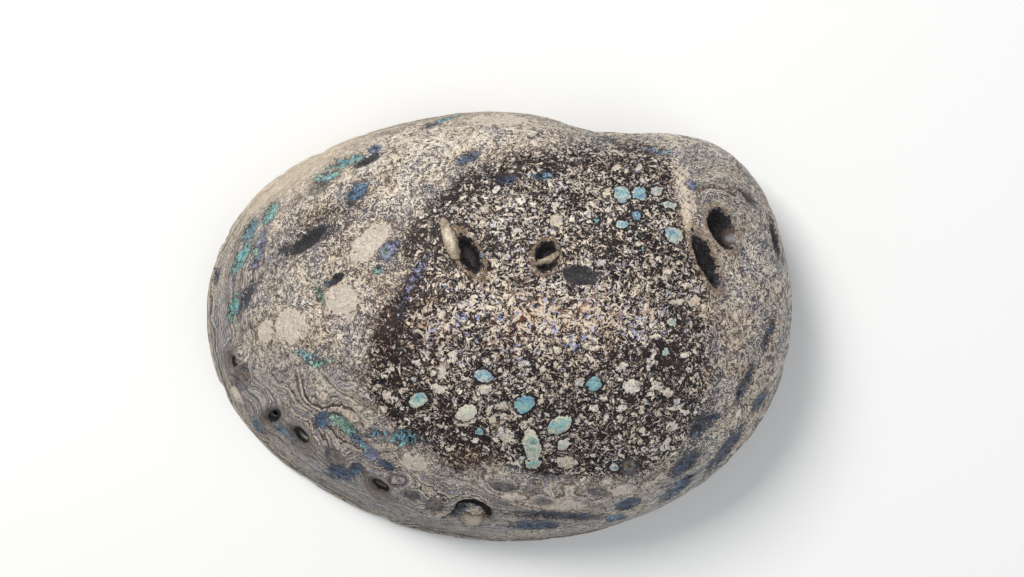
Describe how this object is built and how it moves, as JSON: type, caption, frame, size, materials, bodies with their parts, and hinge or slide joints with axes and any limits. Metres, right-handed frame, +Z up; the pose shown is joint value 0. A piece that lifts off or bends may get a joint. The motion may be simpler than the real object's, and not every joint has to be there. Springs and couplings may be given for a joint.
{
  "type": "abalone shell",
  "caption": "Ear-shaped sea shell, domed and beach-worn outside, pearly and hollow underneath, with a flat inner lip by the spire and a curved row of breathing pores along one edge.",
  "frame": {"origin": "under the middle of the shell's box, on the surface that its rim rests on", "axes": "+X from the growing edge to the spire, +Y towards the inner lip, +Z up out of the domed back"},
  "size_m": [0.1498, 0.1112, 0.045],
  "materials": {
    "shell_crust": "sea-worn chalky crust, cream and dark brown speckle, with blue-green nacre where it has worn through"
  },
  "bodies": {
    "root": {"shell": "shell_crust"}
  },
  "joints": []
}
